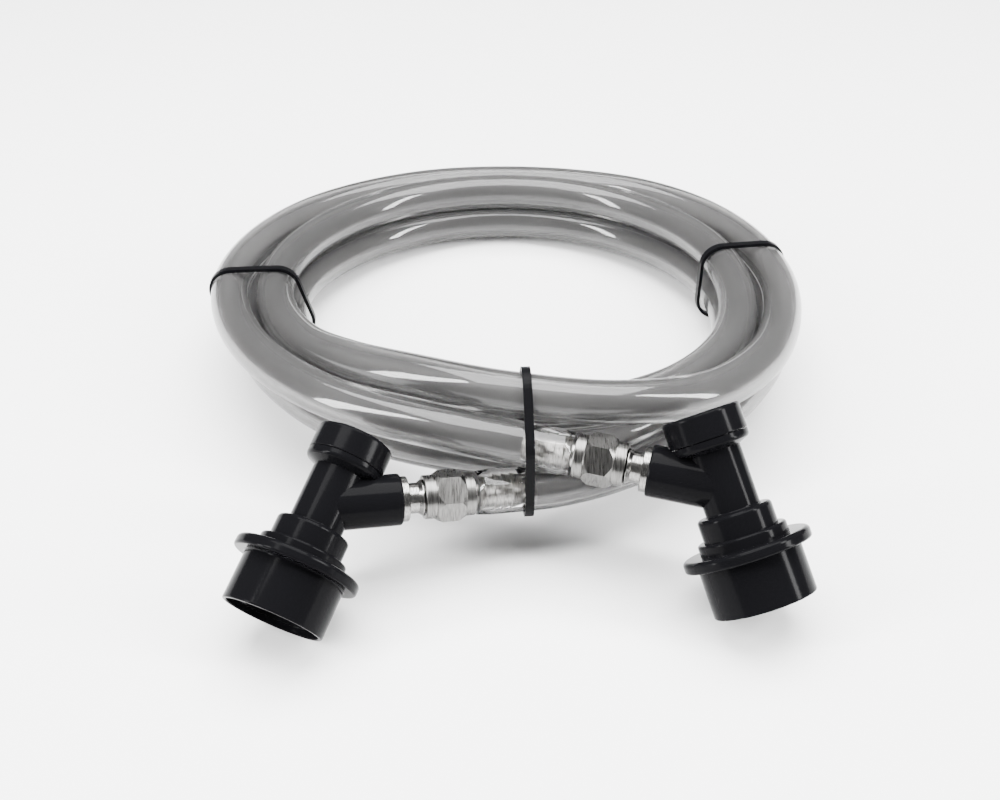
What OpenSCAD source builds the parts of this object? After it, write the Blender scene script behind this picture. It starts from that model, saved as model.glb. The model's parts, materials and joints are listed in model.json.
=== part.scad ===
// Keg jumper hose: a tied coil of clear hose with a ball-lock disconnect on each end.
// Millimetres, +Z up. The back of the coil and the rims of both disconnects stand on z = 0.
// The disconnects hold the front of the coil up, so the whole coil leans back by coil_tilt.

/* [Hose] */
// Outside diameter of the hose
hose_d = 14.3; // [12:0.1:17.5]
// Inside diameter of the hose
hose_bore_d = 7.9; // [6.5:0.1:9.5]
// Gap between neighbouring turns
turn_gap = 0.3; // [0.2:0.05:1]
// Radius of the innermost turn, to the middle of the hose
coil_r = 88.3; // [84:0.1:110]
// Lean of the coil, front up, in degrees
coil_tilt = 4.6; // [3.5:0.1:6]

/* [Cable ties] */
// Width of a cable tie
tie_w = 2.8; // [2:0.1:4.8]
// Thickness of a cable tie
tie_t = 1.2; // [0.9:0.1:1.6]
// Gap between a tie and the hose
tie_gap = 0.35; // [0.1:0.05:0.5]
// Bearing of the front tie around the coil, in degrees
front_tie_a = 273.5; // [272:0.5:276]
// Bearing of the left tie
left_tie_a = 184; // [175:1:195]
// Bearing of the right tie
right_tie_a = 9; // [0:1:20]

/* [Disconnect collar] */
// Diameter of the collar's skirt
skirt_d = 31.6; // [30.4:0.1:38]
// Height of the skirt, rim to flange
skirt_h = 15.3; // [14.5:0.1:18.5]
// Diameter of the collar's finger flange
flange_d = 39.2; // [36:0.1:47]
// Thickness of the finger flange
flange_t = 3.6; // [2.6:0.1:4.4]
// Wall of the skirt
skirt_wall = 1.2; // [0.8:0.1:1.5]
// How far the collar lifts to let go of a keg post
collar_travel = 4.6; // [3.5:0.1:5]

/* [Disconnect body] */
// Height of the body, rim of the skirt to top of the cap
body_h = 60; // [56:0.5:72]
// Diameter of the lower shoulder, which the collar slides over
shoulder_d = 27.4; // [27:0.1:29]
// Diameter of the upper shoulder
collar_stop_d = 23; // [21:0.1:26]
// Diameter of the barrel
barrel_d = 16.8; // [15.5:0.1:20]
// Diameter of the cup under the cap
cup_d = 24; // [22.5:0.1:28]
// Diameter of the side branch
branch_d = 16; // [15:0.1:18]
// Angle between the branch and the body's axis, in degrees
branch_a = 60; // [56:1:66]
// Height of the branch's root above the rim, on the body's axis
branch_h = 37; // [35:0.5:40]
// Length of the branch from the body's axis
branch_l = 23; // [21:0.5:27]
// Diameter of the mouth that a keg post enters
socket_mouth_d = 19; // [18.8:0.1:19.6]
// Diameter of the socket above the mouth
socket_d = 18.4; // [17.8:0.1:18.7]
// Number of locking balls
ball_count = 3; // [3:1:4]
// Diameter of a locking ball
ball_d = 4.4; // [4:0.1:4.6]

/* [Flare fitting] */
// Across flats of the swivel nut
nut_af = 14.3; // [14:0.1:17.2]
// Length of the swivel nut
nut_l = 15.9; // [13.5:0.1:18]
// Length of the nut's hexagon
nut_hex_l = 9.3; // [7:0.1:10.5]
// Major diameter of the flare thread
thread_d = 11.12; // [10.5:0.01:11.5]
// Pitch of the flare thread
thread_pitch = 1.27; // [1:0.01:1.5]
// Length of bare flare stem between the nut and the branch
stem_bare_l = 7; // [5.5:0.1:9]
// Diameter of the stem's flange
stem_flange_d = 14; // [12:0.1:16]
// Length of the barbed stem inside the hose
barb_l = 16; // [13:0.5:19]
// Number of barbs
barb_count = 5; // [3:1:6]
// Diameter of the bore through both fittings
flow_d = 5.2; // [4:0.1:5.4]

/* [Layout] */
// Shift of the coil's centre from the origin, towards the back
coil_y = 24.3; // [0:0.1:60]
// Shift of the coil's centre from the origin, sideways
coil_x = 0.2; // [-20:0.1:20]

/* [Hidden] */
rim_round = 0.5; // rounding of the skirt's rim
run_gap = 0.1; // radial clearance of a sliding or turning fit
seat_gap = 0.02; // gap between pieces that are clamped together
barb_bite = 0.1; // how far the barbs' crests stretch the hose's bore, across

// Ends: name, [hose end beside the coil's centre, top of the cap behind the front of the outer turn],
// bearing, rise and roll of the fitting axis
LEFT = ["left", [-9.5, 0.9621], 194.5, 6.5, 52];
RIGHT = ["right", [20.4, -0.7284], -15, -2.5, -37];

END_PIECES = [
    "disconnect_body", "top_cap", "cap_oring", "valve_stem", "valve_seal", "valve_spring",
    "locking_collar", "collar_spring", "locking_balls", "retaining_ring",
    "flare_stem", "flare_washer", "swivel_nut", "hose_barb"
];

// ---- places along the fitting axis, measured from the hose's cut end ----
nut_x0 = 0.9;
nut_x1 = nut_x0 + nut_l;
nut_collar_d = nut_af - 0.7;
nut_back_l = 3.2;
branch_x = nut_x1 + stem_bare_l;
reach = branch_x + branch_l;
neck_d = hose_bore_d;
barb_head_x0 = nut_x0 + nut_back_l + 0.2;
barb_head_l = 4.1;
barb_head_d = thread_d - 1.3;
seat_d0 = flow_d;
seat_d1 = barb_head_d - 0.5;
washer_t = 0.9;

// ---- heights on the disconnect's axis, measured from the skirt's rim ----
collar_top = skirt_h + flange_t;
shoulder_top = collar_top + collar_travel - 1.2;
stop_top = shoulder_top + 7;
shoulder_z0 = collar_top - 1.4;
cup_h = 3.8;
cap_h = 8.2;
cap_z0 = body_h - cap_h;
cup_top = cap_z0 - 0.2;
cup_z0 = cup_top - cup_h;
bell_z0 = 1.6;
bell_d = 24.4;
mouth_l = 2;
ball_z = 6.2;
socket_top = collar_top - 1.9;
web_t = 3;
chamber_z0 = socket_top + web_t;
chamber_d = 10;
neck_top = cap_z0 + 5;
neck_thread_d = 19.2;
cap_ceiling = neck_top + 1;
boss_z0 = cup_z0 - 1.8;
lock_z0 = ball_z - ball_d / 2 - 0.1;
lock_l = 5;
valve_head_z0 = chamber_z0 + 0.9;
valve_head_l = 1.5;
valve_travel = 3.5;

// ---- the balls sit between the socket and the collar's locking land ----
ball_in_r = socket_d / 2 - 0.65;
ball_r = ball_in_r + ball_d / 2;
lock_d = 2 * (ball_r + ball_d / 2 + 0.05);
relief_d = skirt_d - 2 * skirt_wall;
ring_z0 = lock_z0 - 1.2;
ring_l = 1;
ring_groove_d = bell_d - 1.2;

// ================= vectors and curves =================
function unit(v) = v / norm(v);
function along(a, b, u) = a + (b - a) * u;
function arc(c, r, a0, a1, n = 5) = [for (i = [0:n]) let (a = along(a0, a1, i / n)) c + r * [cos(a), sin(a)]];

// Cubic curve from p0 to p1 that leaves along d0 and arrives along d1, both unit vectors
function blend(p0, d0, p1, d1, u) =
    let (s = norm(p1 - p0), v = 1 - u)
    (1 + 2 * u) * v * v * p0 + u * v * v * s * d0 + u * u * (3 - 2 * u) * p1 - u * u * v * s * d1;

// ================= where the two ends stand =================
turn_pitch = hose_d + turn_gap;
back_r = coil_r + 1.5 * turn_pitch; // middle of the outer turn
function turn_x(v, a) = [v.x, v.y * cos(a) - v.z * sin(a), v.y * sin(a) + v.z * cos(a)];
function turn_y(v, a) = [v.x * cos(a) + v.z * sin(a), v.y, v.z * cos(a) - v.x * sin(a)];
function turn_z(v, a) = [v.x * cos(a) - v.y * sin(a), v.x * sin(a) + v.y * cos(a), v.z];
function end_turn(e, v) = turn_z(turn_y(turn_x(v, e[4]), -e[3]), e[2]);
function end_out(e) = end_turn(e, [1, 0, 0]);
function end_up(e) = end_turn(e, [-cos(branch_a), 0, sin(branch_a)]);

// Height of the hose's cut end when the skirt's rim touches the floor
function end_z(e) =
    let (a = end_up(e), rim = end_out(e) * reach - a * branch_h)
    (skirt_d / 2 - rim_round) * sqrt(1 - a.z * a.z) - rim_round * a.z + rim_round - rim.z;
// The cap's top keeps its place at the coil, and the rest of the end hangs off it
function end_at(e) =
    let (cap_y = (end_out(e) * reach + end_up(e) * (body_h - branch_h)).y)
    [coil_x + e[1].x, coil_y - back_r + e[1].y - cap_y, end_z(e)];

// ================= the hose's route, in the leaning frame of the coil =================
// The coil's own frame has its axis on z and its lowest turn on z = 0
function to_coil(p) = turn_x(p - [coil_x, coil_y + back_r, 0], coil_tilt) + [0, back_r, 0];
function dir_to_coil(v) = turn_x(v, coil_tilt);

// Lanes of the four turns: bearing, turns out from coil_r, turns up from the floor.
// The first turn runs outside on the floor, the second inside it, the third climbs on top
// of that and crosses the front in the groove, and the fourth runs outside on top.
LANES = [
    [292, 1.45, 0], [306, 1.15, 0], [320, 0.95, 0], [360, 1.02, 0], [420, 1.5, 0],
    [480, 1.5, 0], [540, 0.9, 0], [565, 0.48, 0], [585, 0.43, 0], [612, 0.43, 0],
    [630, 0.55, 0], [657, 0.24, 0], [682, -0.09, 0], [720, -0.02, 0], [810, 0, 0],
    [890, -0.12, 0], [915, -0.44, 0.02], [935, -0.66, 0.15], [950, -0.66, 0.4],
    [962, -0.55, 0.64], [972, -0.35, 0.85], [982, -0.02, 0.97], [990, 0.3, 1],
    [1000, 0.44, 1], [1017, 0.52, 1], [1030, 0.5, 1], [1042, 0.38, 1], [1055, 0.2, 1],
    [1070, 0.05, 1], [1080, 0, 1], [1260, 0, 1], [1280, -0.06, 1.03], [1295, -0.08, 1.12],
    [1310, 0, 1.39], [1320, 0.12, 1.59], [1330, 0.26, 1.72], [1340, 0.53, 1.85],
    [1350, 0.93, 1.89], [1356, 1.04, 1.83], [1365, 1.28, 1.74], [1377, 1.47, 1.48],
    [1390, 1.55, 1.3], [1402, 1.42, 1.17], [1415, 1.25, 1.05], [1430, 1.18, 1],
    [1485, 1.18, 1], [1515, 1.02, 0.9], [1530, 1.01, 0.88], [1560, 1.02, 0.94],
    [1590, 1.18, 1], [1620, 1.19, 1], [1640, 1.06, 1], [1651, 1.01, 1],
    [1664, 0.93, 1], [1675, 0.92, 0.985], [1690, 1, 0.97]
];
lane_out = [for (k = LANES) [k[0], k[1]]];
lane_up = [for (k = LANES) [k[0], k[2]]];
function lane_point(a) =
    let (r = coil_r + lookup(a, lane_out) * turn_pitch)
    [r * cos(a), r * sin(a), hose_d / 2 + lookup(a, lane_up) * turn_pitch];
function lane_dir(a) = unit(lane_point(a + 1) - lane_point(a - 1));

lane_a0 = 306;
lane_a1 = 1674;
lane_step = 18;
straight_l = barb_l + 2;
start_p = to_coil(end_at(LEFT));
start_d = dir_to_coil(-end_out(LEFT));
finish_p = to_coil(end_at(RIGHT));
finish_d = dir_to_coil(end_out(RIGHT));
route = concat(
    [start_p, start_p + start_d * straight_l],
    [for (u = [1 / 3, 2 / 3])
        blend(start_p + start_d * straight_l, start_d, lane_point(lane_a0), lane_dir(lane_a0), u)],
    [for (a = [lane_a0:lane_step:lane_a1]) lane_point(a)],
    [for (u = [1 / 4, 1 / 2, 3 / 4])
        blend(lane_point(lane_a1), lane_dir(lane_a1), finish_p - finish_d * straight_l, finish_d, u)],
    [finish_p - finish_d * straight_l, finish_p]
);

// Points where the route crosses the half plane at a bearing, as [out, up] in the coil's frame
function crossings_at(bearing) =
    let (n = [-sin(bearing), cos(bearing), 0], r = [cos(bearing), sin(bearing), 0])
    [for (i = [0:len(route) - 2])
        let (s0 = route[i] * n, s1 = route[i + 1] * n)
        if (s0 * s1 <= 0 && s0 != s1 && route[i] * r > 0)
            let (p = along(route[i], route[i + 1], s0 / (s0 - s1)))
            [p * r, p.z]];
// The same at both edges of a tie, since some runs cross it at a slant
tie_half_a = asin(tie_w / 2 / coil_r);
function crossings(bearing) = concat(crossings_at(bearing - tie_half_a), crossings_at(bearing + tie_half_a));

// ================= sweeps =================
function path_dir(path, i) = unit(path[min(i + 1, len(path) - 1)] - path[max(i - 1, 0)]);
function ring(path, i, r, sides) =
    let (t = path_dir(path, i), s = unit(cross(t, [0, 0, 1])), n = cross(s, t))
    [for (k = [0:sides - 1]) path[i] + r * (cos(360 * k / sides) * s + sin(360 * k / sides) * n)];
function rings(path, r, sides) = [for (i = [0:len(path) - 1]) each ring(path, i, r, sides)];
function skin(count, sides, base, flip) =
    [for (i = [0:count - 2]) for (k = [0:sides - 1])
        let (j = (k + 1) % sides, a = base + i * sides, b = a + sides)
        each flip
            ? [[a + k, b + k, b + j], [a + k, b + j, a + j]]
            : [[a + k, a + j, b + j], [a + k, b + j, b + k]]];

// A solid rod along a path
module rod_along(path, r, sides) {
    n = len(path);
    polyhedron(
        rings(path, r, sides),
        concat(
            skin(n, sides, 0, false),
            [[for (k = [0:sides - 1]) sides - 1 - k], [for (k = [0:sides - 1]) (n - 1) * sides + k]]
        ),
        convexity = 10
    );
}

// A tube along a path, open at both ends
module tube_along(path, r_out, r_in, sides) {
    n = len(path);
    m = n * sides;
    last = (n - 1) * sides;
    polyhedron(
        concat(rings(path, r_out, sides), rings(path, r_in, sides)),
        concat(
            skin(n, sides, 0, false),
            skin(n, sides, m, true),
            [for (k = [0:sides - 1]) let (j = (k + 1) % sides) [m + k, m + j, j, k]],
            [for (k = [0:sides - 1])
                let (j = (k + 1) % sides) [last + k, last + j, m + last + j, m + last + k]]
        ),
        convexity = 10
    );
}

// A round spring of wire_d standing on z = 0, with flat half turns at both ends
module spring(d, wire_d, l, turns) {
    steps = 12;
    rise = l - wire_d;
    rod_along(
        [for (i = [0:turns * steps])
            let (a = 360 * i / steps, u = min(max((i / steps - 0.5) / (turns - 1), 0), 1))
            [d / 2 * cos(a), d / 2 * sin(a), wire_d / 2 + rise * u]],
        wire_d / 2, 6
    );
}

// A round seal ring whose section is centred on height z
module seal_ring(d, section_d, z) {
    translate([0, 0, z]) rotate_extrude($fn = 64) translate([d / 2, 0]) circle(d = section_d, $fn = 20);
}

// ================= frames =================
module lay_coil() {
    translate([coil_x, coil_y + back_r, 0]) rotate([-coil_tilt, 0, 0]) translate([0, -back_r, 0]) children();
}

// Puts the fitting axis on local +X, from the hose's cut end towards the disconnect
module at_end(e) {
    translate(end_at(e)) rotate([0, -e[3], e[2]]) rotate([e[4], 0, 0]) children();
}

// Turns +Z onto the fitting axis
module on_fitting() {
    rotate([0, 90, 0]) children();
}

// Puts the rim of the skirt on z = 0 of the disconnect's own axis
module on_body() {
    translate([reach, 0, 0]) rotate([0, branch_a - 90, 0]) translate([0, 0, -branch_h]) children();
}

// ================= hose and ties =================
module hose() {
    color([0.8, 0.82, 0.82, 0.5]) lay_coil() tube_along(route, hose_d / 2, hose_bore_d / 2, 12);
}

// A cable tie around the bundle at a bearing, with its head underneath
module cable_tie(bearing) {
    spots = crossings(bearing);
    low = min([for (p = spots) p.y]) - hose_d / 2 - tie_gap;
    floor_spots = [for (p = spots) if (p.y < low + hose_d) p.x];
    head_x = (min(floor_spots) + max(floor_spots)) / 2;
    head_l = 5.4;
    head_h = 3.2;
    head_w = tie_w + 2;
    color([0.07, 0.07, 0.07]) lay_coil() rotate([0, 0, bearing]) rotate([90, 0, 0]) {
        linear_extrude(tie_w, center = true) difference() {
            hull() for (p = spots) translate(p) circle(d = hose_d + 2 * (tie_gap + tie_t), $fn = 40);
            hull() for (p = spots) translate(p) circle(d = hose_d + 2 * tie_gap, $fn = 40);
        }
        translate([head_x, low - tie_t / 2 - head_h / 2, 0]) cube([head_l, head_h, head_w], center = true);
        translate([head_x + head_l / 2 + 0.7, low - tie_t - 0.9, 0]) cube([1.6, tie_t, tie_w], center = true);
    }
}

// ================= flare fitting, on +Z =================
// The barbed stem: barbs inside the hose, a neck that the nut turns on, and a flared head
module hose_barb() {
    tooth = (barb_l - 2.5) / barb_count;
    root_d = hose_bore_d - 1;
    crest_d = hose_bore_d + barb_bite;
    color([0.78, 0.77, 0.74]) on_fitting() difference() {
        union() {
            for (i = [0:barb_count - 1])
                translate([0, 0, -barb_l + 2.5 + i * tooth])
                    cylinder(h = tooth, d1 = root_d, d2 = crest_d, $fn = 48);
            translate([0, 0, -barb_l]) cylinder(h = 2.5, d1 = root_d - 0.8, d2 = root_d, $fn = 48);
            cylinder(h = barb_head_x0, d = neck_d, $fn = 48);
            translate([0, 0, barb_head_x0]) cylinder(h = barb_head_l, d = barb_head_d, $fn = 48);
        }
        translate([0, 0, -barb_l - 1]) cylinder(h = barb_l + barb_head_x0 + barb_head_l + 2, d = flow_d - 0.6, $fn = 48);
        translate([0, 0, barb_head_x0 + barb_head_l - (seat_d1 - seat_d0) / 2])
            cylinder(h = (seat_d1 - seat_d0) / 2 + 0.01, d1 = seat_d0, d2 = seat_d1 + 0.02, $fn = 48);
    }
}

// The soft cone that seals the two flares
washer_x0 = barb_head_x0 + barb_head_l - (seat_d1 - seat_d0) / 2 + seat_gap;
module flare_washer() {
    r0 = seat_d0 / 2;
    r1 = seat_d1 / 2;
    color([0.93, 0.92, 0.88]) on_fitting() translate([0, 0, washer_x0]) rotate_extrude($fn = 48)
        polygon([[r0, 0], [r0, washer_t], [r1, r1 - r0 + washer_t], [r1, r1 - r0]]);
}

module swivel_nut() {
    hex_x0 = nut_x0 + nut_back_l;
    corner_r = nut_af / sqrt(3);
    flat_r = nut_af / 2;
    cut = corner_r - flat_r;
    collar_r = nut_collar_d / 2;
    color([0.8, 0.79, 0.77]) on_fitting() difference() {
        union() {
            intersection() {
                translate([0, 0, hex_x0]) cylinder(h = nut_hex_l, r = corner_r, $fn = 6);
                rotate_extrude($fn = 72) polygon([
                    [0, hex_x0], [flat_r - 0.1, hex_x0], [corner_r + 0.1, hex_x0 + 1.2 * cut + 0.9],
                    [corner_r + 0.1, hex_x0 + nut_hex_l - 1.2 * cut - 0.9],
                    [flat_r - 0.1, hex_x0 + nut_hex_l], [0, hex_x0 + nut_hex_l]
                ]);
            }
            rotate_extrude($fn = 72) polygon(concat(
                [[0, nut_x0]],
                arc([collar_r - 0.4, nut_x0 + 0.4], 0.4, -90, 0),
                arc([collar_r - 0.4, nut_x1 - 0.4], 0.4, 0, 90),
                [[0, nut_x1]]
            ));
        }
        translate([0, 0, nut_x0 - 1]) cylinder(h = nut_back_l + 2, d = neck_d + 2 * run_gap, $fn = 48);
        translate([0, 0, nut_x0 + nut_back_l]) cylinder(h = nut_l, d = thread_d + 2 * run_gap, $fn = 48);
    }
}

// The male flare stem that is moulded into the branch
nose_x0 = washer_x0 + washer_t + seat_gap;
thread_x0 = nose_x0 + (thread_d - 0.5 - seat_d0) / 2 + 0.3;
thread_x1 = nut_x1 + 1.8;
module flare_stem() {
    crest_r = thread_d / 2;
    root_r = crest_r - 0.6;
    neck_r = crest_r - 0.8;
    flange_r = stem_flange_d / 2;
    teeth = floor((thread_x1 - thread_x0) / thread_pitch);
    shank_l = 10;
    color([0.8, 0.79, 0.77]) on_fitting() difference() {
        rotate_extrude($fn = 72) polygon(concat(
            [[0, nose_x0 + 0.2], [seat_d0 / 2 + 0.2, nose_x0 + 0.2], [crest_r - 0.25, thread_x0 - 0.3]],
            [for (i = [0:teeth - 1]) let (z = thread_x0 + i * thread_pitch) each [
                [root_r, z], [crest_r, z + 0.45 * thread_pitch], [crest_r, z + 0.6 * thread_pitch]
            ]],
            [[neck_r, thread_x1], [neck_r, branch_x - 2], [flange_r - 0.2, branch_x - 2]],
            [[flange_r, branch_x - 1.8], [flange_r, branch_x - seat_gap], [neck_r, branch_x - seat_gap]],
            [[neck_r, branch_x + shank_l], [0, branch_x + shank_l]]
        ));
        translate([0, 0, nose_x0 - 1]) cylinder(h = branch_x + shank_l, d = flow_d, $fn = 48);
    }
}

// ================= disconnect, on its own axis =================
stem_hole_l = 10.2;

module disconnect_body() {
    r_sh = shoulder_d / 2;
    r_st = collar_stop_d / 2;
    r_ba = barrel_d / 2;
    r_cu = cup_d / 2;
    r_bell = bell_d / 2;
    r_nk = neck_thread_d / 2;
    color([0.05, 0.05, 0.055]) difference() {
        union() {
            on_body() rotate_extrude($fn = 96) polygon(concat(
                [[0, bell_z0], [r_bell - 0.4, bell_z0], [r_bell, bell_z0 + 0.4]],
                [[r_bell, ring_z0], [ring_groove_d / 2, ring_z0]],
                [[ring_groove_d / 2, ring_z0 + ring_l + 0.1], [r_bell, ring_z0 + ring_l + 0.1]],
                [[r_bell, shoulder_z0], [r_sh, shoulder_z0]],
                arc([r_sh - 0.8, shoulder_top - 0.8], 0.8, 0, 90),
                [[r_st, shoulder_top]],
                arc([r_st - 1.2, stop_top - 1.2], 1.2, 0, 90),
                arc([r_ba + 0.6, stop_top + 0.6], 0.6, -90, -180, 4),
                [[r_ba, cup_z0]],
                arc([r_cu - 1.6, cup_z0 + 2.6], 1.6, -50, 0, 5),
                [[r_cu, cup_top], [r_nk, cup_top], [r_nk, neck_top], [0, neck_top]]
            ));
            difference() {
                on_fitting() translate([0, 0, branch_x]) rotate_extrude($fn = 72) polygon(concat(
                    [[0, 0]], arc([branch_d / 2 - 0.8, 0.8], 0.8, -90, 0),
                    [[branch_d / 2, branch_l], [0, branch_l]]
                ));
                // room for the cap to turn over the root of the branch
                on_body() translate([0, 0, cup_top - 0.01]) cylinder(h = cap_h, d = cup_d + 0.8, $fn = 96);
            }
        }
        on_body() {
            translate([0, 0, bell_z0 - 1]) cylinder(h = mouth_l + 1, d = socket_mouth_d, $fn = 72);
            translate([0, 0, bell_z0]) cylinder(h = socket_top - bell_z0, d = socket_d, $fn = 72);
            translate([0, 0, socket_top - 1]) cylinder(h = web_t + 2, d = 4.4, $fn = 36);
            translate([0, 0, chamber_z0]) cylinder(h = body_h, d = chamber_d, $fn = 48);
            for (i = [0:ball_count - 1])
                rotate([0, 0, 360 * (i + 0.5) / ball_count]) translate([0, 0, ball_z]) rotate([0, 90, 0])
                    cylinder(h = bell_d, d = ball_d + 0.1, $fn = 36);
        }
        on_fitting() {
            translate([0, 0, branch_x - 1])
                cylinder(h = stem_hole_l + 1, d = thread_d - 1.6 + 2 * seat_gap, $fn = 48);
            translate([0, 0, branch_x]) cylinder(h = branch_l, d = flow_d, $fn = 48);
        }
    }
}

// The screw cap over the body's threaded neck, with a coin slot across its top
module top_cap() {
    r = cup_d / 2 + 0.1;
    boss_d = chamber_d - 2.2;
    color([0.05, 0.05, 0.055]) on_body() difference() {
        union() {
            rotate_extrude($fn = 96) polygon(concat(
                [[neck_thread_d / 2 + run_gap, cap_z0]],
                arc([r - 0.3, cap_z0 + 0.3], 0.3, -90, 0, 3),
                arc([r - 1.1, body_h - 1.1], 1.1, 0, 90),
                [[0, body_h], [0, cap_ceiling], [neck_thread_d / 2 + run_gap, cap_ceiling]]
            ));
            translate([0, 0, boss_z0]) cylinder(h = cap_ceiling - boss_z0 + 0.2, d = boss_d, $fn = 48);
        }
        translate([0, 0, body_h]) cube([cup_d * 0.72, 2.2, 2.4], center = true);
    }
}

module cap_oring() {
    color([0.1, 0.1, 0.1]) on_body() seal_ring(15.2, 0.96, (neck_top + cap_ceiling) / 2);
}

module valve_stem() {
    pin_d = 3;
    pin_out = valve_travel + 0.1;
    color([0.9, 0.9, 0.88]) on_body() {
        translate([0, 0, socket_top - pin_out])
            cylinder(h = valve_head_z0 + valve_head_l / 2 - socket_top + pin_out, d = pin_d, $fn = 36);
        translate([0, 0, valve_head_z0]) cylinder(h = valve_head_l, d = chamber_d - 2.2, $fn = 48);
        translate([0, 0, valve_head_z0 + valve_head_l / 2]) cylinder(h = 12, d = pin_d, $fn = 36);
    }
}

module valve_seal() {
    color([0.1, 0.1, 0.1]) on_body() seal_ring(6, 0.86, chamber_z0 + 0.45);
}

module valve_spring() {
    z0 = valve_head_z0 + valve_head_l + seat_gap;
    color([0.75, 0.75, 0.75]) on_body() translate([0, 0, z0])
        spring(5.8, 0.7, boss_z0 - seat_gap - z0, 8);
}

// The sliding collar: skirt, finger flange and the land that holds the balls in
module locking_collar() {
    r = skirt_d / 2;
    rf = flange_d / 2;
    r_lip = shoulder_d / 2 + run_gap;
    lip_t = 2;
    color([0.05, 0.05, 0.055]) on_body() rotate_extrude($fn = 96) polygon(concat(
        [[relief_d / 2, 0.3], [relief_d / 2 + 0.3, 0]],
        arc([r - rim_round, rim_round], rim_round, -90, 0, 4),
        [[r, skirt_h - 0.5]],
        arc([r + 0.5, skirt_h - 0.5], 0.5, 180, 90, 4),
        arc([rf - 0.8, skirt_h + 0.8], 0.8, -90, 0),
        arc([rf - 1.3, collar_top - 1.3], 1.3, 0, 90),
        [[r_lip, collar_top], [r_lip, collar_top - lip_t], [relief_d / 2, collar_top - lip_t]],
        [[relief_d / 2, lock_z0 + lock_l], [lock_d / 2, lock_z0 + lock_l], [lock_d / 2, lock_z0], [relief_d / 2, lock_z0]]
    ));
}

module collar_spring() {
    z0 = lock_z0 + lock_l + seat_gap;
    d = shoulder_d - 0.9 - 2 * run_gap;
    color([0.75, 0.75, 0.75]) on_body() translate([0, 0, z0])
        spring(d, 0.9, shoulder_z0 - seat_gap - z0, 4);
}

module locking_balls() {
    color([0.85, 0.85, 0.85]) on_body() for (i = [0:ball_count - 1])
        rotate([0, 0, 360 * (i + 0.5) / ball_count]) translate([ball_r, 0, ball_z]) sphere(d = ball_d, $fn = 32);
}

// The open ring on the bell that stops the collar from sliding off
module retaining_ring() {
    color([0.7, 0.7, 0.7]) on_body() difference() {
        translate([0, 0, ring_z0 + 0.05]) rotate_extrude($fn = 72)
            translate([ring_groove_d / 2 + 0.05, 0]) square([(relief_d - ring_groove_d) / 2 - 0.7, ring_l]);
        translate([0, -1.5, 0]) cube([relief_d, 3, lock_z0 + lock_l]);
    }
}

// ================= the object =================
hose();
cable_tie(front_tie_a);  // front_tie
cable_tie(left_tie_a);  // left_tie
cable_tie(right_tie_a);  // right_tie
for (e = [LEFT, RIGHT]) {
    at_end(e) disconnect_body();
    at_end(e) top_cap();
    at_end(e) cap_oring();
    at_end(e) valve_stem();
    at_end(e) valve_seal();
    at_end(e) valve_spring();
    at_end(e) locking_collar();
    at_end(e) collar_spring();
    at_end(e) locking_balls();
    at_end(e) retaining_ring();
    at_end(e) flare_stem();
    at_end(e) flare_washer();
    at_end(e) swivel_nut();
    at_end(e) hose_barb();
}
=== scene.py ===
"""Keg jumper hose: a tied coil of clear hose with a ball-lock disconnect on each end.

The route is worked out in millimetres, as in the CAD source. Everything else is in metres.
"""
import json
import math

import bpy
import numpy as np
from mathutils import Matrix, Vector


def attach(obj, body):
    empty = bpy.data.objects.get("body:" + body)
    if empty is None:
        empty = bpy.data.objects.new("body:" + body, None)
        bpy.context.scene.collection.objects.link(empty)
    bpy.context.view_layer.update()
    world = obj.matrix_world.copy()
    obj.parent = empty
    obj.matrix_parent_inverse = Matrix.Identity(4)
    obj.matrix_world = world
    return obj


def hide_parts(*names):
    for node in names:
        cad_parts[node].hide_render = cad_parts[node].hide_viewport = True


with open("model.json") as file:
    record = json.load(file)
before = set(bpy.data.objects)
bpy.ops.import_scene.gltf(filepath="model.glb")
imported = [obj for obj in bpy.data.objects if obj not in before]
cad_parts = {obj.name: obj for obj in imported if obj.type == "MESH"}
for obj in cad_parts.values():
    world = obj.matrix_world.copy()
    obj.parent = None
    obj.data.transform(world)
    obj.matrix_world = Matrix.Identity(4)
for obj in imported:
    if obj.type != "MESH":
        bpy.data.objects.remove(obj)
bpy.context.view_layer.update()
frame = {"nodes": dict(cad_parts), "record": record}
MM = 0.001


# ---------------------------------------------------------------- camera
LENS = 42.6
SENSOR = 36.0
AIM = Vector((-1.62, -10.25, 0.0)) * MM
DISTANCE = 449.5 * MM
ELEVATION = math.radians(37.475)


def add_camera():
    data = bpy.data.cameras.new("camera")
    data.lens = LENS
    data.sensor_width = SENSOR
    data.clip_start = 0.01
    cam = bpy.data.objects.new("camera", data)
    back = Vector((0, -math.cos(ELEVATION), math.sin(ELEVATION)))
    cam.location = AIM + back * DISTANCE
    cam.rotation_euler = back.to_track_quat("Z", "Y").to_euler()
    bpy.context.collection.objects.link(cam)
    bpy.context.scene.camera = cam


add_camera()


# ---------------------------------------------------------------- the hose's route, in mm
HOSE_D, BORE_D, PITCH = 14.3, 7.9, 14.6  # pitch from turn to turn
GRIP_D = 5.8  # across the bore where it grips the barbs, hidden inside the steel
GRIP_L, GRIP_END = 15.0, 17.0  # along the hose from each end: gripped up to here, full bore from here
COIL_R, TILT = 88.3, math.radians(4.6)  # innermost turn, and how far the coil leans back
COIL_XY = np.array([0.2, 24.3])
BACK_R = COIL_R + 1.5 * PITCH
STRAIGHT = 18.0  # straight run at each end
RIM_R, RIM_ROUND = 15.8, 0.5  # skirt of the disconnect
REACH, BRANCH_H, BRANCH_A = 46.8, 37.0, math.radians(60)  # from the hose's end to the body's axis
# each end: hose end beside the coil's centre, bearing, rise and roll
ENDS = {
    "left": ((-9.5, -116.0), 194.5, 6.5, 52.0),
    "right": ((20.4, -113.2), -15.0, -2.5, -37.0),
}
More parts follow.
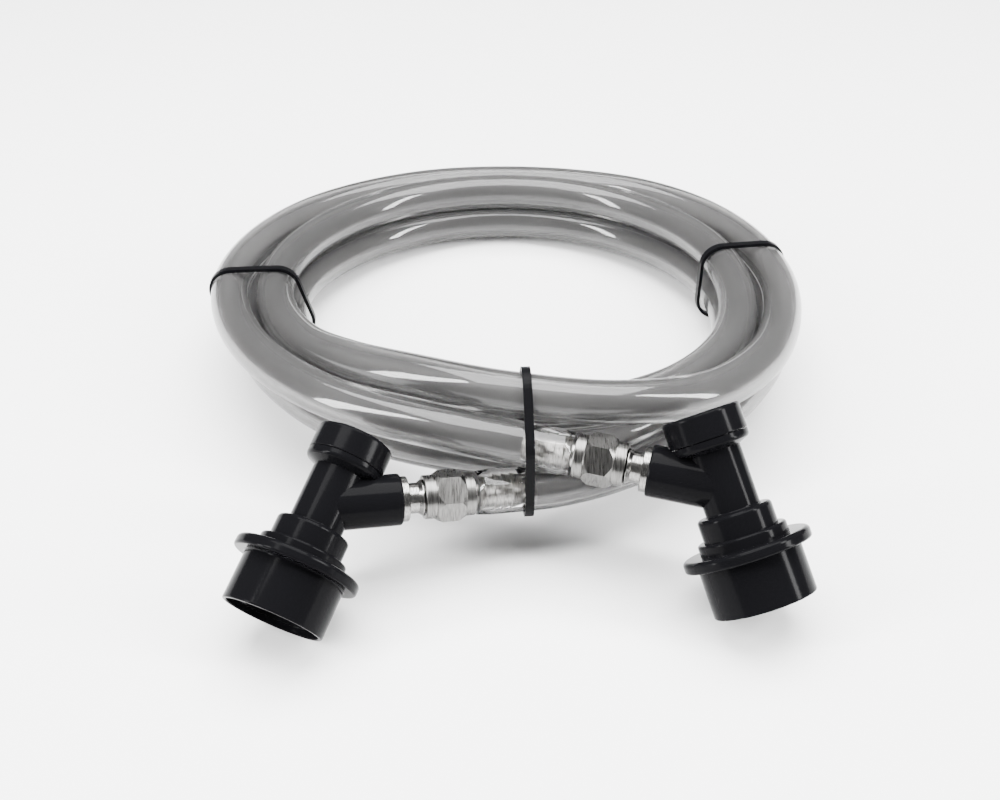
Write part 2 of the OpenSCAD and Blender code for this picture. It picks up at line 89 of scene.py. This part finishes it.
# bearing in degrees, turns out from the innermost, turns up from the floor
LANES = np.array([
    (292, 1.45, 0), (306, 1.15, 0), (320, 0.95, 0), (360, 1.02, 0), (420, 1.5, 0),
    (480, 1.5, 0), (540, 0.9, 0), (565, 0.48, 0), (585, 0.43, 0), (612, 0.43, 0),
    (630, 0.55, 0), (657, 0.24, 0), (682, -0.09, 0), (720, -0.02, 0), (810, 0, 0),
    (890, -0.12, 0), (915, -0.44, 0.02), (935, -0.66, 0.15), (950, -0.66, 0.4),
    (962, -0.55, 0.64), (972, -0.35, 0.85), (982, -0.02, 0.97), (990, 0.3, 1),
    (1000, 0.44, 1), (1017, 0.52, 1), (1030, 0.5, 1), (1042, 0.38, 1), (1055, 0.2, 1),
    (1070, 0.05, 1), (1080, 0, 1), (1260, 0, 1), (1280, -0.06, 1.03), (1295, -0.08, 1.12),
    (1310, 0, 1.39), (1320, 0.12, 1.59), (1330, 0.26, 1.72), (1340, 0.53, 1.85),
    (1350, 0.93, 1.89), (1356, 1.04, 1.83), (1365, 1.28, 1.74), (1377, 1.47, 1.48),
    (1390, 1.55, 1.3), (1402, 1.42, 1.17), (1415, 1.25, 1.05), (1430, 1.18, 1),
    (1485, 1.18, 1), (1515, 1.02, 0.9), (1530, 1.01, 0.88), (1560, 1.02, 0.94),
    (1590, 1.18, 1), (1620, 1.19, 1), (1640, 1.06, 1), (1651, 1.01, 1),
    (1664, 0.93, 1), (1675, 0.92, 0.985), (1690, 1, 0.97),
], dtype=float)
LANE_FIRST, LANE_LAST, LANE_STEP = 306, 1674, 18


def turn(axis, angle):
    c, s = math.cos(angle), math.sin(angle)
    i, j = {"x": (1, 2), "y": (2, 0), "z": (0, 1)}[axis]
    m = np.eye(3)
    m[i, i] = m[j, j] = c
    m[i, j], m[j, i] = -s, s
    return m


def unit(v):
    return v / np.linalg.norm(v)


def end_frame(name):
    """The hose's cut end, the fitting's direction and the disconnect's upward axis."""
    xy, bearing, rise, roll = ENDS[name]
    m = turn("z", math.radians(bearing)) @ turn("y", -math.radians(rise)) @ turn("x", math.radians(roll))
    out = m @ np.array([1.0, 0, 0])
    up = m @ np.array([-math.cos(BRANCH_A), 0, math.sin(BRANCH_A)])
    rim = out * REACH - up * BRANCH_H
    lean = math.sqrt(1 - up[2] ** 2)
    z = (RIM_R - RIM_ROUND) * lean - RIM_ROUND * up[2] + RIM_ROUND - rim[2]
    at = np.array([COIL_XY[0] + xy[0], COIL_XY[1] + xy[1], z])
    return at, out, up


def lane_point(a):
    r = COIL_R + np.interp(a, LANES[:, 0], LANES[:, 1]) * PITCH
    z = HOSE_D / 2 + np.interp(a, LANES[:, 0], LANES[:, 2]) * PITCH
    a = math.radians(a)
    return np.array([r * math.cos(a), r * math.sin(a), z])


def lane_dir(a):
    return unit(lane_point(a + 1) - lane_point(a - 1))


def hermite(p0, d0, p1, d1, u):
    s, v = np.linalg.norm(p1 - p0), 1 - u
    return ((1 + 2 * u) * v * v * p0 + u * v * v * s * d0
            + u * u * (3 - 2 * u) * p1 - u * u * v * s * d1)


def hose_route():
    """The same points as the CAD hose, in the part's frame."""
    lean, base = turn("x", TILT), np.array([COIL_XY[0], COIL_XY[1] + BACK_R, 0])
    shift = np.array([0, BACK_R, 0])

    def to_coil(p):
        return lean @ (p - base) + shift

    at, out, _ = end_frame("left")
    p0, d0 = to_coil(at), lean @ -out
    at, out, _ = end_frame("right")
    p1, d1 = to_coil(at), lean @ out
    first, last = p0 + d0 * STRAIGHT, p1 - d1 * STRAIGHT
    points = [p0, first]
    points += [hermite(first, d0, lane_point(LANE_FIRST), lane_dir(LANE_FIRST), u)
               for u in (1 / 3, 2 / 3)]
    points += [lane_point(a) for a in range(LANE_FIRST, LANE_LAST + 1, LANE_STEP)]
    points += [hermite(lane_point(LANE_LAST), lane_dir(LANE_LAST), last, d1, u)
               for u in (0.25, 0.5, 0.75)]
    points += [last, p1]
    back = lean.T
    return np.array([back @ (p - shift) + base for p in points])


def smooth_path(points, spacing):
    """A smooth curve through the points, with straight runs kept straight at both ends."""
    gap = np.linalg.norm(np.diff(points, axis=0), axis=1)
    slope = np.empty_like(points)
    a, b = gap[:-1, None], gap[1:, None]
    left, right = np.diff(points, axis=0)[:-1] / a, np.diff(points, axis=0)[1:] / b
    slope[1:-1] = (left * b + right * a) / (a + b)
    slope[0] = slope[1] = (points[1] - points[0]) / gap[0]
    slope[-1] = slope[-2] = (points[-1] - points[-2]) / gap[-1]
    out = []
    for i, g in enumerate(gap):
        n = max(1, int(round(g / spacing)))
        for k in range(n):
            u = k / n
            v = 1 - u
            out.append((1 + 2 * u) * v * v * points[i] + u * v * v * g * slope[i]
                       + u * u * (3 - 2 * u) * points[i + 1] - u * u * v * g * slope[i + 1])
    out.append(points[-1])
    return np.array(out)


# ---------------------------------------------------------------- meshes
def mesh_object(name, verts, faces, smooth=True):
    """A new mesh object in the scene."""
    mesh = bpy.data.meshes.new(name)
    mesh.from_pydata([tuple(v) for v in verts], [], faces)
    mesh.validate()
    mesh.update()
    mesh.polygons.foreach_set("use_smooth", [smooth] * len(mesh.polygons))
    obj = bpy.data.objects.new(name, mesh)
    bpy.context.collection.objects.link(obj)
    return obj


def frames_along(path):
    """Two side directions at each point, square to the path and without twist."""
    tangents = np.gradient(path, axis=0)
    tangents /= np.linalg.norm(tangents, axis=1)[:, None]
    side = unit(np.cross(tangents[0], [0, 0, 1.0]))
    sides = []
    for t in tangents:
        side = unit(side - t * side.dot(t))
        sides.append(side)
    sides = np.array(sides)
    return sides, np.cross(tangents, sides)


CUT_ROUND_OUT, CUT_ROUND_IN = 0.35 * MM, 0.2 * MM  # rounding of the hose's cut ends


def hollow_tube(name, path, r_out, r_in, sides, ends):
    """A closed hollow tube with slightly rounded cut ends. r_in is the bore's radius at each point.
    The bore's faces take the second material, and so many rows of the skin at each end the third."""
    side, normal = frames_along(path)
    count = len(path)
    ang = np.linspace(0, 2 * math.pi, sides, endpoint=False)[None, :, None]
    dirs = np.cos(ang) * side[:, None, :] + np.sin(ang) * normal[:, None, :]
    outer, inner = np.full(count, r_out), r_in.copy()
    outer[[0, -1]] -= CUT_ROUND_OUT
    inner[[0, -1]] += CUT_ROUND_IN
    loops = [path[i] + dirs[i] * outer[i] for i in range(count)]
    loops += [path[i] + dirs[i] * inner[i] for i in range(count - 1, -1, -1)]
    verts = np.concatenate(loops)
    rows = len(loops)
    faces = []
    for i in range(rows):
        j = (i + 1) % rows
        for k in range(sides):
            m = (k + 1) % sides
            faces.append((i * sides + k, i * sides + m, j * sides + m, j * sides + k))
    obj = mesh_object(name, verts, faces)
    skin = [2] * ends + [0] * (count - 1 - 2 * ends) + [2] * ends
    looks = [look for look in skin + [1] * (rows - count + 1) for _ in range(sides)]
    obj.data.polygons.foreach_set("material_index", looks)
    return obj


# ---------------------------------------------------------------- materials
def material(name, **sockets):
    """A node-based material whose shader sockets start at the given constants."""
    mat = bpy.data.materials.new(name)
    mat.use_nodes = True
    shader = mat.node_tree.nodes["Principled BSDF"]
    for key, value in sockets.items():
        shader.inputs[key.replace("_", " ")].default_value = value
    return mat


def node(mat, kind, **values):
    n = mat.node_tree.nodes.new(kind)
    for key, value in values.items():
        n.inputs[key].default_value = value
    return n


def link(mat, a, out, b, into):
    mat.node_tree.links.new(a.outputs[out], b.inputs[into])


def noise(mat, scale, detail, stretch=None):
    """Noise in the object's own metres, so scale is features in a metre."""
    tex = node(mat, "ShaderNodeTexNoise", Scale=scale, Detail=detail)
    where = node(mat, "ShaderNodeTexCoord")
    if stretch:
        mapping = node(mat, "ShaderNodeMapping", Scale=stretch)
        link(mat, where, "Object", mapping, "Vector")
        link(mat, mapping, "Vector", tex, "Vector")
    else:
        link(mat, where, "Object", tex, "Vector")
    return tex


def vary(mat, tex, socket, low, high):
    """Lets a texture move one number of the shader between two values."""
    shader = mat.node_tree.nodes["Principled BSDF"]
    span = node(mat, "ShaderNodeMapRange")
    span.inputs["To Min"].default_value = low
    span.inputs["To Max"].default_value = high
    link(mat, tex, "Fac", span, "Value")
    link(mat, span, "Result", shader, socket)


def tint(mat, tex, dark, light):
    """Lets a texture move the base colour between two colours."""
    shader = mat.node_tree.nodes["Principled BSDF"]
    ramp = node(mat, "ShaderNodeValToRGB")
    for stop, place, colour in zip(ramp.color_ramp.elements, (0.35, 0.65), (dark, light)):
        stop.position = place
        stop.color = (*colour, 1)
    link(mat, tex, "Fac", ramp, "Fac")
    link(mat, ramp, "Color", shader, "Base Color")


def bump(mat, tex, distance, strength):
    shader = mat.node_tree.nodes["Principled BSDF"]
    b = node(mat, "ShaderNodeBump", Distance=distance, Strength=strength)
    link(mat, tex, "Fac", b, "Height")
    link(mat, b, "Normal", shader, "Normal")


def clear_vinyl(name, rough, clear, shade):
    """Soft clear vinyl with a grey tint that is painted shade: it stands in for dim surroundings seen
    through the hose, so light fades with each wall it passes.
    """
    mat = material(name, Roughness=rough, IOR=1.42, Transmission_Weight=clear, Specular_IOR_Level=0.4)
    bump(mat, noise(mat, 40, 1), 0.00004, 0.1)
    # the grey is painted shade; the noise only varies its tone at random
    grey = np.array((1, 0.99, 0.985)) * shade
    tint(mat, noise(mat, 14, 2), grey * 0.88, grey * 1.12)
    return mat


def black_plastic(name, rough, gloss):
    """Black moulded plastic or rubber with a fine skin and slightly uneven polish."""
    mat = material(name, Base_Color=(0.003, 0.003, 0.0035, 1), Roughness=rough, IOR=1.5,
                   Specular_IOR_Level=gloss)
    bump(mat, noise(mat, 900, 4), 0.00002, 0.5)
    vary(mat, noise(mat, 60, 3), "Roughness", rough - 0.05, rough + 0.07)
    return mat


def steel(name, shade, rough, stretch, scale, depth):
    """Machined stainless steel. Its tool marks are noise drawn out by stretch."""
    mat = material(name, Metallic=1.0, Roughness=rough)
    lines = noise(mat, scale, 3, stretch)
    warm = np.array((1, 0.985, 0.95))
    tint(mat, lines, warm * shade * 0.7, warm * shade * 1.3)
    bump(mat, lines, depth, 0.6)
    vary(mat, lines, "Roughness", rough - 0.08, rough + 0.1)
    return mat


def pale_plastic(name, dark, light, rough):
    """Moulded nylon or acetal: slightly cloudy, with a fine moulded skin."""
    mat = material(name, Roughness=rough, IOR=1.48)
    tint(mat, noise(mat, 120, 3), dark, light)
    bump(mat, noise(mat, 1200, 2), 0.00001, 0.5)
    return mat


LOOKS = {
    "clear_pvc": clear_vinyl("clear_vinyl", 0.07, 0.86, 0.22),
    "tie_nylon": black_plastic("tie_nylon", 0.35, 0.03),
    "black_plastic": black_plastic("black_plastic", 0.12, 0.02),
    "seal_rubber": black_plastic("seal_rubber", 0.6, 0.3),
    "white_plastic": pale_plastic("white_acetal", (0.74, 0.74, 0.7), (0.84, 0.84, 0.8), 0.4),
    "spring_steel": steel("spring_steel", 0.45, 0.3, (1, 1, 1), 2500, 0.000004),
    "ball_steel": steel("ball_steel", 0.6, 0.12, (1, 1, 1), 2000, 0.000002),
    "fitting_steel": steel("fitting_steel", 0.2, 0.2, (1, 0.3, 0.3), 3000, 0.000004),
    "nut_steel": steel("nut_steel", 0.13, 0.28, (1, 0.08, 0.08), 2600, 0.00001),
    "washer_nylon": pale_plastic("washer_nylon", (0.74, 0.71, 0.63), (0.84, 0.81, 0.74), 0.5),
}
for part in frame["record"]["subparts"]:
    obj = frame["nodes"][part["node"]]
    look = LOOKS[part["material_slot"]]
    if obj.data.materials:
        for i in range(len(obj.data.materials)):
            obj.data.materials[i] = look
    else:
        obj.data.materials.append(look)
# the barbed stems get a lighter copy of the steel, painted light, so they show bright through the shaded
# hose
for name in ("left_hose_barb", "right_hose_barb"):
    barb_painted_light = steel("bright_" + name, 0.5, 0.3, (1, 0.2, 0.2), 3000, 0.000001)
    frame["nodes"][name].data.materials[0] = barb_painted_light


# ---------------------------------------------------------------- hose
PATH_STEP = 4 * MM
HOSE_SIDES = 32
route = hose_route() * MM
path = smooth_path(route, PATH_STEP)
# the soft wall closes on the barbs at both ends, so no air is left between them
along = np.concatenate([[0], np.cumsum(np.linalg.norm(np.diff(path, axis=0), axis=1))])
hose_length = float(along[-1])
to_end = np.minimum(along, hose_length - along)
bore = np.interp(to_end, [GRIP_L * MM, GRIP_END * MM], [GRIP_D / 2 * MM, BORE_D / 2 * MM])
end_rows = int(np.sum(along < GRIP_L * MM))
hose = hollow_tube("clear_hose", path, HOSE_D / 2 * MM, bore, HOSE_SIDES, end_rows)
hose.data.materials.append(LOOKS["clear_pvc"])
# copies of the vinyl with their own painted shade: about as dark in the bore, much lighter over the
# barbs at the ends so these show through
hose.data.materials.append(clear_vinyl("clear_vinyl_bore", 0.3, 0.87, 0.21))
hose.data.materials.append(clear_vinyl("clear_vinyl_ends", 0.03, 1.0, 0.7))
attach(hose, "coil")
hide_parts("hose")


# ---------------------------------------------------------------- stage and light
FLOOR_HALF = 6.0
FLOOR_DROP = 0.2 * MM  # keeps the floor clear of what stands on z = 0


def add_floor():
    corners = [(x * FLOOR_HALF, y * FLOOR_HALF, 0) for x, y in ((-1, -1), (1, -1), (1, 1), (-1, 1))]
    floor = mesh_object("floor", corners, [(0, 1, 2, 3)], smooth=False)
    floor.location.z = -FLOOR_DROP
    mat = material("floor", Base_Color=(0.95, 0.95, 0.95, 1), Roughness=0.7)
    floor.data.materials.append(mat)


def add_light(name, place, aim, size, power):
    data = bpy.data.lights.new(name, "AREA")
    data.shape = "RECTANGLE"
    data.size, data.size_y = size
    data.energy = power
    lamp = bpy.data.objects.new(name, data)
    lamp.location = place
    lamp.rotation_euler = (Vector(place) - Vector(aim)).to_track_quat("Z", "Y").to_euler()
    bpy.context.collection.objects.link(lamp)


def add_world():
    world = bpy.data.worlds.new("studio")
    world.use_nodes = True
    world.node_tree.nodes["Background"].inputs["Color"].default_value = (1, 1, 1, 1)
    world.node_tree.nodes["Background"].inputs["Strength"].default_value = 0.25
    bpy.context.scene.world = world


add_floor()
add_world()
add_light("top", (0.0, 0.15, 1.1), (0, 0, 0), (1.3, 1.0), 78)
add_light("left", (-0.8, -0.35, 0.45), (0, -0.05, 0.02), (0.14, 0.9), 26)
add_light("right", (0.85, -0.3, 0.5), (0, -0.05, 0.02), (0.14, 0.9), 26)
